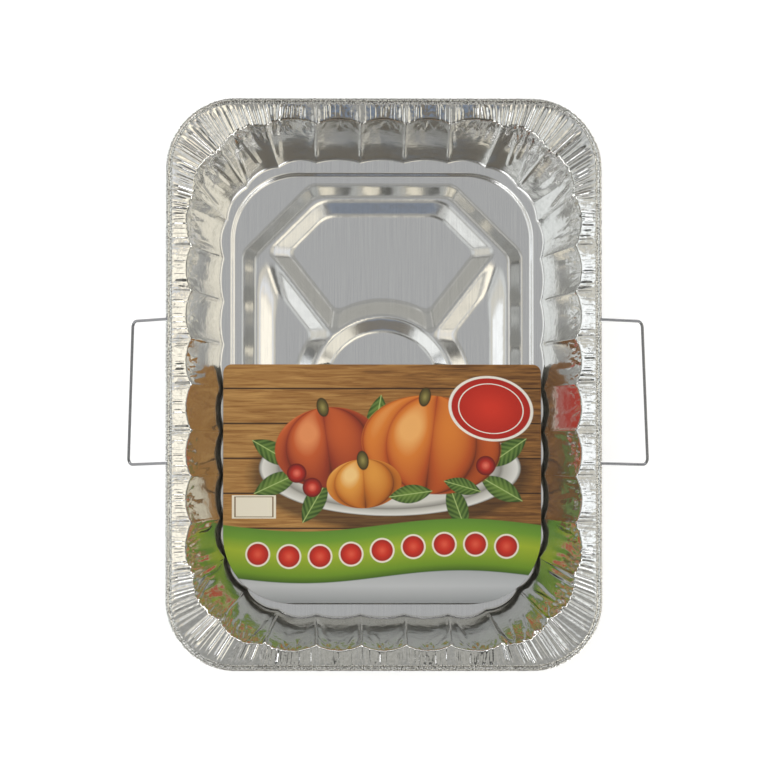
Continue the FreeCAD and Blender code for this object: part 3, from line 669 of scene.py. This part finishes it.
coated_card, tree, shader = new_material("coated_printed_card")
places_node = add(tree, "ShaderNodeTexCoord")
card_spot = add(tree, "ShaderNodeVectorMath", {"operation": "MULTIPLY", 1: (1 / MM, 1 / MM, 0)},
                in0=places_node.outputs["Object"]).outputs[0]
card_parts = add(tree, "ShaderNodeSeparateXYZ", in0=card_spot)


def calculate(operation, *values):
    """One step of arithmetic on fields or numbers."""
    node = add(tree, "ShaderNodeMath", {"operation": operation})
    for socket, value in zip(node.inputs, values):
        if isinstance(value, (int, float)):
            socket.default_value = value
        else:
            tree.links.new(value, socket)
    return node.outputs[0]


def edge_of(field, blur):
    """1 where a field is above 0, with an edge as wide as the blur."""
    return add(tree, "ShaderNodeMapRange", {"From Min": -blur, "From Max": blur},
               Value=field).outputs[0]


def framed(centre, size, angle=0.0):
    """The spot as seen from a motif's own middle, in its own half sizes."""
    return add(tree, "ShaderNodeMapping",
               {"vector_type": "TEXTURE", "Location": (*centre, 0),
                "Rotation": (0, 0, math.radians(angle)), "Scale": (*size, 1)},
               Vector=card_spot).outputs[0]


def round_field(frame_spot):
    """1 at a motif's middle, 0 on its outline."""
    length = add(tree, "ShaderNodeVectorMath", {"operation": "LENGTH"}, in0=frame_spot)
    return calculate("SUBTRACT", 1.0, length.outputs["Value"])


def inked(under, ink, mask):
    """Lays an ink over what is printed so far."""
    node = add(tree, "ShaderNodeMix", {"data_type": "RGBA"})
    tree.links.new(mask, node.inputs[0])
    tree.links.new(under, node.inputs[6])
    if isinstance(ink, str):
        node.inputs[7].default_value = linear(ink)
    else:
        tree.links.new(ink, node.inputs[7])
    return node.outputs[2]


def blended(field, *stops):
    """Ink that runs through several colours as a field goes from 0 to 1."""
    node = add(tree, "ShaderNodeValToRGB", Fac=field)
    ramp = node.color_ramp
    while len(ramp.elements) < len(stops):
        ramp.elements.new(0.5)
    for element, (position, colour) in zip(ramp.elements, stops):
        element.position = position
        element.color = linear(colour)
    return node.outputs["Color"]


# The boards lie across the card, with dark seams and a stretched grain. The shift of
# 500 mm only keeps the count of boards above zero.
BOARD_WIDTH, GRAIN_WIDTH, GRAIN_LENGTH = 27.0, 2.2, 38.0
across_boards = calculate("ADD", card_parts.outputs[1], 500)
across_board = calculate("FRACT", calculate("DIVIDE", across_boards, BOARD_WIDTH))
grain_spot = add(tree, "ShaderNodeVectorMath",
                 {"operation": "MULTIPLY", 1: (1 / GRAIN_LENGTH, 1 / GRAIN_WIDTH, 0)},
                 in0=card_spot).outputs[0]
grain = add(tree, "ShaderNodeTexNoise",
            {"Scale": 1.0, "Detail": 4.0, "Roughness": 0.65, "Distortion": 0.6},
            Vector=grain_spot).outputs["Fac"]
lit_side = calculate("MULTIPLY", card_parts.outputs[0], -1 / 900)
wood = blended(calculate("ADD", grain, lit_side),
               (0.25, "#5E3A1A"), (0.5, "#9A6A34"), (0.78, "#C39556"))
from_seam = calculate("ABSOLUTE", calculate("SUBTRACT", across_board, 0.5))
seam = calculate("SUBTRACT", 0.022, from_seam)
print_colour = inked(wood, "#3A2210", edge_of(seam, 0.008))

# The platter, with its shade on the boards. Places and half sizes are in millimetres.
PLATTER = ((6, -62), (101, 37))
PLATTER_SHADE = ((6, -68), (108, 42))
rim_field = round_field(framed(*PLATTER))
shade = round_field(framed(*PLATTER_SHADE))
print_colour = inked(print_colour, "#3B2716", calculate("MULTIPLY", edge_of(shade, 0.05), 0.7))
china = blended(calculate("MULTIPLY", rim_field, 2.4), (0.0, "#8D8B84"), (0.06, "#E4E2DC"),
                (0.3, "#B9B6AE"), (0.36, "#8E8B84"), (0.6, "#D5D2CA"))
print_colour = inked(print_colour, china, edge_of(rim_field, 0.006))


def leaf(under, centre, angle, length=19.0, ink="#55762C"):
    """One pointed leaf with a pale rib down its middle."""
    parts = add(tree, "ShaderNodeSeparateXYZ", in0=framed(centre, (length, length), angle))
    taper = calculate("SUBTRACT", 1.0, calculate("POWER", parts.outputs[0], 2))
    width = calculate("ABSOLUTE", parts.outputs[1])
    body = calculate("SUBTRACT", calculate("MULTIPLY", taper, 0.42), width)
    slanted = calculate("ADD", parts.outputs[0], width)
    veins = calculate("SINE", calculate("MULTIPLY", slanted, 26.0))
    tint = blended(calculate("MULTIPLY", body, 2.4), (0.0, "#2F4A1A"), (1.0, ink))
    tint = inked(tint, "#86A350", calculate("MULTIPLY", edge_of(veins, 0.6), 0.35))
    tint = inked(tint, "#A9BE74", edge_of(calculate("SUBTRACT", 0.02, width), 0.012))
    return inked(under, tint, edge_of(body, 0.02))


def squash(under, centre, size, angle, ribs, *inks):
    """One round squash, darker in its grooves and lit from the upper left."""
    spot = framed(centre, size, angle)
    parts = add(tree, "ShaderNodeSeparateXYZ", in0=spot)
    body = round_field(spot)
    chord = calculate("SQRT", calculate("MAXIMUM", 0.02, calculate(
        "SUBTRACT", 1.0, calculate("POWER", parts.outputs[1], 2))))
    turn = calculate("ARCSINE", calculate("MINIMUM", 1.0, calculate(
        "MAXIMUM", -1.0, calculate("DIVIDE", parts.outputs[0], chord))))
    groove = calculate("ABSOLUTE", calculate("SINE", calculate("MULTIPLY", turn, ribs)))
    light = round_field(framed((centre[0] - size[0] * 0.3, centre[1] + size[1] * 0.35),
                               (size[0] * 1.25, size[1] * 1.25)))
    tone = calculate("ADD", calculate("MULTIPLY", calculate("POWER", groove, 0.45), 0.5),
                     calculate("MULTIPLY", light, 0.62))
    ink = blended(tone, (0.12, inks[0]), (0.5, inks[1]), (0.82, inks[2]), (1.0, inks[3]))
    return inked(under, ink, edge_of(body, 0.012))


ORANGE = ("#6B2608", "#B9511A", "#DD7F2E", "#F3B268")
AMBER = ("#7A3A0C", "#C26E1F", "#E39A3F", "#F7CB85")
RUSSET = ("#541A08", "#96361A", "#C65A28", "#E8915A")
for centre, angle, ink in (((-84, -50), 150, "#55762C"), ((-82, -74), 205, "#6B8A36"),
                           ((96, -50), 35, "#55762C"), ((92, -78), -30, "#6B8A36"),
                           ((-52, -88), 240, "#4C6B28"), ((58, -92), -70, "#4C6B28"),
                           ((-4, -24), 80, "#6B8A36"), ((84, -36), 70, "#4C6B28")):
    print_colour = leaf(print_colour, centre, angle, ink=ink)
print_colour = squash(print_colour, (-42, -46), (41, 31), 8, 3.5, *RUSSET)
print_colour = squash(print_colour, (38, -44), (54, 38), -7, 4.5, *ORANGE)
print_colour = squash(print_colour, (-14, -74), (29, 19), 4, 3.5, *AMBER)
print_colour = leaf(print_colour, (22, -82), 8, 17.0, "#6B8A36")
print_colour = leaf(print_colour, (62, -76), -16, 15.0, "#55762C")
for x, y, turn in ((-46, -15, 14), (33, -7, -12), (-15, -56, 8)):
    stem = round_field(framed((x, y), (4.6, 7.5), turn))
    stem_ink = blended(stem, (0.0, "#33260F"), (0.5, "#6F6430"), (1.0, "#9C9150"))
    print_colour = inked(print_colour, stem_ink, edge_of(stem, 0.06))
for x, y in ((-66, -66), (-54, -77), (80, -60)):
    berry = round_field(framed((x, y), (7.5, 7.5)))
    berry_ink = blended(berry, (0.0, "#5C0F0A"), (0.5, "#B8281A"), (0.9, "#E8705A"))
    print_colour = inked(print_colour, berry_ink, edge_of(berry, 0.04))

# The foot of the card: a green wave with a string of red beads, and a silver edge.
WAVE_LENGTH, WAVE_SWING, BEAD_PITCH, BEAD_LINE, BEAD_HALF = 39.0, 5.0, 24.0, -125.5, 9.6
along_wave = calculate("DIVIDE", card_parts.outputs[0], WAVE_LENGTH)
swing = calculate("MULTIPLY", calculate("SINE", along_wave), WAVE_SWING)
wave_height = calculate("SUBTRACT", card_parts.outputs[1], swing)
in_wave = calculate("MULTIPLY_ADD", wave_height, 1 / 40.0, 146.0 / 40.0)
green = blended(in_wave, (0.0, "#3E5F16"), (0.14, "#6E9420"), (0.55, "#A2B52C"), (0.8, "#6F9A2C"),
                (1.0, "#5C8A2E"))
print_colour = inked(print_colour, green, edge_of(calculate("SUBTRACT", 1.0, in_wave), 0.01))
for step_along in range(-4, 5):
    x = step_along * BEAD_PITCH
    centre = (x, BEAD_LINE + WAVE_SWING * math.sin(x / WAVE_LENGTH))
    bead = round_field(framed(centre, (BEAD_HALF, BEAD_HALF)))
    print_colour = inked(print_colour, "#F1E6D6", edge_of(bead, 0.03))
    inner = calculate("SUBTRACT", bead, 0.14)
    bead_ink = blended(inner, (0.0, "#A31C10"), (0.4, "#CF2E1A"), (0.8, "#E2553C"))
    print_colour = inked(print_colour, bead_ink, edge_of(inner, 0.03))
silver = blended(calculate("MULTIPLY_ADD", card_parts.outputs[1], 1 / 30.0, 168.0 / 30.0),
                 (0.0, "#8F9294"), (0.5, "#C2C4C6"), (1.0, "#A7AAAC"))
print_colour = inked(print_colour, silver, edge_of(calculate("SUBTRACT", 0.0, in_wave), 0.01))

# A blank red oval with a pale edge and line, and a small blank panel on the boards.
badge = round_field(framed((84, -16), (33, 25), -10))
print_colour = inked(print_colour, "#F2EDE2", edge_of(badge, 0.01))
badge_red = blended(calculate("SUBTRACT", badge, 0.07), (0.0, "#B01C0C"), (0.8, "#D5321C"))
print_colour = inked(print_colour, badge_red, edge_of(calculate("SUBTRACT", badge, 0.07), 0.01))
badge_line = calculate("ABSOLUTE", calculate("SUBTRACT", badge, 0.24))
badge_line = calculate("SUBTRACT", 0.014, badge_line)
print_colour = inked(print_colour, "#F2EDE2", edge_of(badge_line, 0.006))
pale_parts = add(tree, "ShaderNodeSeparateXYZ", in0=framed((-99, -92), (17, 9)))
pale_reach = calculate("MAXIMUM", calculate("ABSOLUTE", pale_parts.outputs[0]),
                       calculate("ABSOLUTE", pale_parts.outputs[1]))
pale_panel = calculate("SUBTRACT", 1.0, pale_reach)
print_colour = inked(print_colour, "#EFE7D4", edge_of(pale_panel, 0.01))
panel_line = calculate("ABSOLUTE", calculate("SUBTRACT", pale_panel, 0.14))
panel_line = calculate("SUBTRACT", 0.03, panel_line)
print_colour = inked(print_colour, "#7A5A34", edge_of(panel_line, 0.01))

# The print is on the upper face only: the edges and the underside are bare board.
facing_up = add(tree, "ShaderNodeSeparateXYZ",
                in0=add(tree, "ShaderNodeNewGeometry").outputs["Normal"]).outputs[2]
BARE_BOARD = "#E9E5DB"
bare = calculate("SUBTRACT", 1.0, edge_of(calculate("SUBTRACT", facing_up, 0.5), 0.1))
print_colour = inked(print_colour, BARE_BOARD, bare)
tree.links.new(print_colour, shader.inputs["Base Color"])
board_grain = add(tree, "ShaderNodeTexNoise", {"Scale": 0.5, "Detail": 2.0}, Vector=card_spot)
board_bump = add(tree, "ShaderNodeBump", {"Strength": 0.05, "Distance": 0.1 * MM},
                 Height=board_grain.outputs["Fac"])
tree.links.new(board_bump.outputs["Normal"], shader.inputs["Normal"])
shader.inputs["Roughness"].default_value = 0.38
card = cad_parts["label_card"]
card.data.materials.clear()
card.data.materials.append(coated_card)


# The studio. A pale floor, a soft grey ceiling, and soft boxes and dark screens round
# the table, each where the foil has to mirror it.

floor_mesh = bpy.data.meshes.new("studio_floor")
FLOOR_HALF, FLOOR_DROP = 8.0, 0.0002
corners = [(x * FLOOR_HALF, y * FLOOR_HALF, -FLOOR_DROP)
           for x, y in ((-1, -1), (1, -1), (1, 1), (-1, 1))]
floor_mesh.from_pydata(corners, [], [(0, 1, 2, 3)])
studio_floor = bpy.data.objects.new("studio_floor", floor_mesh)
bpy.context.scene.collection.objects.link(studio_floor)
pale_floor, tree, shader = new_material("pale_paper_sweep")
shader.inputs["Base Color"].default_value = linear("#C4C4C4")
shader.inputs["Roughness"].default_value = 0.9
# The floor glows only to the camera, in mirrors and through clear things, so the picture's
# background is white and the floor casts no extra light.
FLOOR_GLOW = 0.62
path_kind = add(tree, "ShaderNodeLightPath")
camera_or_gloss = add(tree, "ShaderNodeMath", {"operation": "MAXIMUM"},
                      in0=path_kind.outputs["Is Camera Ray"], in1=path_kind.outputs["Is Glossy Ray"])
seen = add(tree, "ShaderNodeMath", {"operation": "MAXIMUM"},
           in0=camera_or_gloss.outputs[0], in1=path_kind.outputs["Is Transmission Ray"])
glow = add(tree, "ShaderNodeMath", {"operation": "MULTIPLY", 1: FLOOR_GLOW},
           in0=seen.outputs[0])
shader.inputs["Emission Color"].default_value = (1, 1, 1, 1)
tree.links.new(glow.outputs[0], shader.inputs["Emission Strength"])
floor_mesh.materials.append(pale_floor)

# Each box: azimuth and half width, zenith angle from and to, softness, all in degrees,
# then colour and strength. A later box lies over an earlier one.
CEILING = "#AFB0B0"
SOFT_BOXES = [
    (0, 180, 13, 112, 3, "#454543", 1.0),
    (0, 180, 13, 30, 3, "#A2A29E", 1.0),
    (306, 20, 13, 30, 3, "#F3EBD8", 1.5),
    (222, 12, 13, 30, 3, "#D9DBD9", 1.0),
    (248, 12, 15, 30, 3, "#4D4B47", 1.0),
    (0, 16, 13, 30, 3, "#D9D4C6", 1.0),
    (180, 16, 13, 30, 3, "#D8DAD8", 1.0),
    (0, 24, 29, 38, 3, "#EDF0F4", 1.0),
    (0, 26, 37, 42, 2, "#E4D9C4", 1.0),
    (180, 22, 29, 38, 3, "#D9D5C8", 1.0),
    (180, 24, 37, 42, 2, "#CBC9C1", 1.0),
    (90, 20, 30, 42, 3, "#A3A39F", 1.0),
    (90, 52, 40, 54, 3, "#AFAEA7", 1.0),
    (315, 14, 38, 60, 2, "#F2ECDB", 1.05),
    (225, 14, 38, 60, 2, "#FAFCF9", 1.05),
    (0, 22, 40, 70, 2, "#FAF4E4", 1.25),
    (180, 22, 40, 70, 2, "#F6F9F9", 1.25),
    (90, 34, 70, 86, 4, "#FFFFFF", 1.5),
    (270, 22, 27, 38, 2, "#A09F9A", 1.0),
    (270, 13, 38, 43, 2, "#8090A6", 1.0),
    (270, 24, 43, 64, 2, "#7F796F", 1.0),
]
for corner, colour in ((315, "#E4E3DD"), (225, "#CFCFCA"), (45, "#D8D7D1"), (135, "#C2C1BB")):
    SOFT_BOXES += [(corner + turn, 3.5, 30, 41, 1.6, colour, 1.0) for turn in (-17, 0, 17)]
    SOFT_BOXES.append((corner, 14, 72, 86, 4, "#FFFFFF", 5.0))
world = bpy.data.worlds.new("studio")
bpy.context.scene.world = world
world.use_nodes = True
tree = world.node_tree
background = tree.nodes["Background"]
heading = add(tree, "ShaderNodeTexCoord")
parts = add(tree, "ShaderNodeSeparateXYZ", in0=heading.outputs["Generated"])
level_part = add(tree, "ShaderNodeCombineXYZ", in0=parts.outputs[0], in1=parts.outputs[1])
bearing = add(tree, "ShaderNodeVectorMath", {"operation": "NORMALIZE"}, in0=level_part.outputs[0])
seen_colour = add(tree, "ShaderNodeRGB").outputs[0]
seen_colour.default_value = linear(CEILING)
for azimuth, half_width, top, bottom, soft, colour, strength in SOFT_BOXES:
    turn = math.radians(azimuth)
    edge, outer_edge = -1.2, -1.5  # below any cosine, for a box that goes all round
    if half_width < 180:
        edge = math.cos(math.radians(half_width))
        outer_edge = math.cos(math.radians(half_width + 2 * soft))
    cosine = add(tree, "ShaderNodeVectorMath",
                 {"operation": "DOT_PRODUCT", 1: (math.cos(turn), math.sin(turn), 0)},
                 in0=bearing.outputs[0])
    sideways = add(tree, "ShaderNodeMapRange",
                   {"interpolation_type": "SMOOTHSTEP", "From Min": outer_edge, "From Max": edge},
                   Value=cosine.outputs["Value"])
    above = add(tree, "ShaderNodeMapRange",
                {"interpolation_type": "SMOOTHSTEP",
                 "From Min": math.cos(math.radians(bottom + soft)),
                 "From Max": math.cos(math.radians(bottom - soft))}, Value=parts.outputs[2])
    below = add(tree, "ShaderNodeMapRange",
                {"interpolation_type": "SMOOTHSTEP",
                 "From Min": math.cos(math.radians(top - soft)),
                 "From Max": math.cos(math.radians(top + soft))}, Value=parts.outputs[2])
    band = add(tree, "ShaderNodeMath", {"operation": "MULTIPLY"},
               in0=above.outputs[0], in1=below.outputs[0])
    mask = add(tree, "ShaderNodeMath", {"operation": "MULTIPLY"}, in0=band.outputs[0],
               in1=sideways.outputs[0])
    lit = [c * strength for c in linear(colour)[:3]] + [1.0]
    mixed = add(tree, "ShaderNodeMix", {"data_type": "RGBA", 7: lit})
    tree.links.new(mask.outputs[0], mixed.inputs[0])
    tree.links.new(seen_colour, mixed.inputs[6])
    seen_colour = mixed.outputs[2]
tree.links.new(seen_colour, background.inputs["Color"])

# A large diffuser overhead lights the card and the floor evenly; the foil doesn't mirror it.
DIFFUSER_SPOT = Vector((-0.5, 0.4, 2.6))
diffuser = bpy.data.lights.new("overhead_diffuser", "AREA")
diffuser.shape = "DISK"
diffuser.size = 2.4
diffuser.energy = 26.0
overhead = bpy.data.objects.new("overhead_diffuser", diffuser)
overhead.location = DIFFUSER_SPOT
overhead.rotation_euler = DIFFUSER_SPOT.to_track_quat("Z", "Y").to_euler()
overhead.visible_glossy = False
overhead.visible_camera = False
bpy.context.scene.collection.objects.link(overhead)

# The camera stands almost straight above, as for a catalogue picture, with a long lens.

LENS, SENSOR = 307.0, 36.0
VIEW_WIDTH = 0.5856
LEAN_X, LEAN_Y = -1.2, -2.6
distance = VIEW_WIDTH * LENS / SENSOR
aim = Vector((0.0, 0.0, HEIGHT * MM))
lean = [math.sin(math.radians(angle)) for angle in (LEAN_X, LEAN_Y)]
back = Vector((*lean, 1.0)).normalized()
camera = bpy.data.cameras.new("camera")
camera.lens = LENS
camera.sensor_width = SENSOR
viewer = bpy.data.objects.new("camera", camera)
viewer.location = aim + back * distance
across = Vector((0, 1, 0)).cross(back).normalized()
viewer.rotation_euler = Matrix((across, back.cross(across), back)).transposed().to_euler()
camera.clip_end = 60.0
bpy.context.scene.collection.objects.link(viewer)
bpy.context.scene.camera = viewer
bpy.context.scene.view_settings.view_transform = "Standard"
